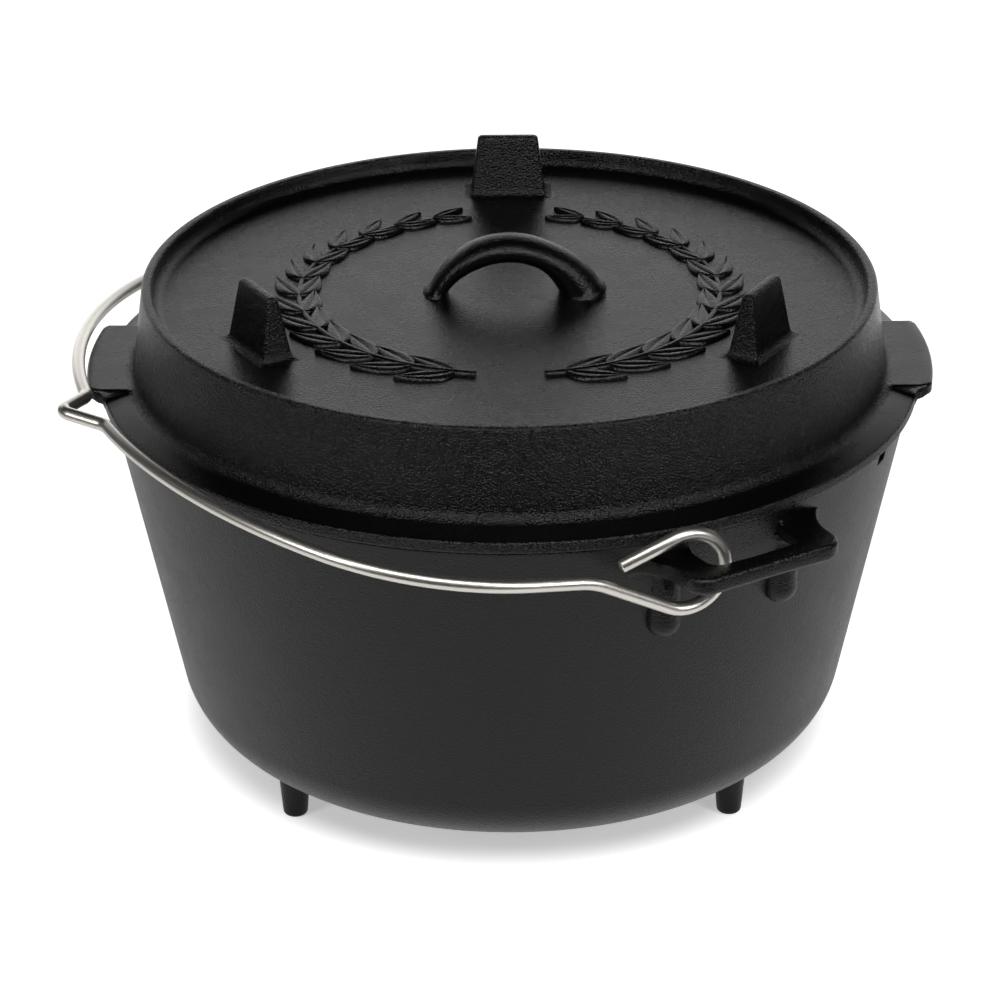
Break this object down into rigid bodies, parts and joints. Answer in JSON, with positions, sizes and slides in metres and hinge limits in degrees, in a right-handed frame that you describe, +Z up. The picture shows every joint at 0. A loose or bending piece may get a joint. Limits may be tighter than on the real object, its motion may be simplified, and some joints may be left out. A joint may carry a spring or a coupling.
{
  "type": "camp dutch oven",
  "caption": "Footed cast-iron camp oven with a flanged lid that carries coals and a swinging wire bail.",
  "frame": {"origin": "on the pot's axis, in the plane of its three feet", "axes": "+Z up along the pot's axis, +X to the right and -Y to the front as in the picture"},
  "size_m": [0.3286, 0.3417, 0.2244],
  "materials": {
    "seasoned_iron": "black seasoned casting, satin, with a fine sand-cast grain",
    "bright_steel": "bright drawn wire"
  },
  "bodies": {
    "pot": {"pot": "seasoned_iron"},
    "lid": {"lid": "seasoned_iron", "lid_handle": "seasoned_iron"},
    "bail": {"bail": "bright_steel"}
  },
  "joints": [
    {"name": "lid_lift", "type": "slide", "parent": "pot", "child": "lid", "axis": [0, 0, 1], "range_m": [0, 0.12]},
    {"name": "bail_swing", "type": "hinge", "parent": "pot", "child": "bail", "pos_m": [0, 0, 0.15585], "axis": [-0.3816, 0.9243, 0], "range_deg": [0, 162]}
  ]
}
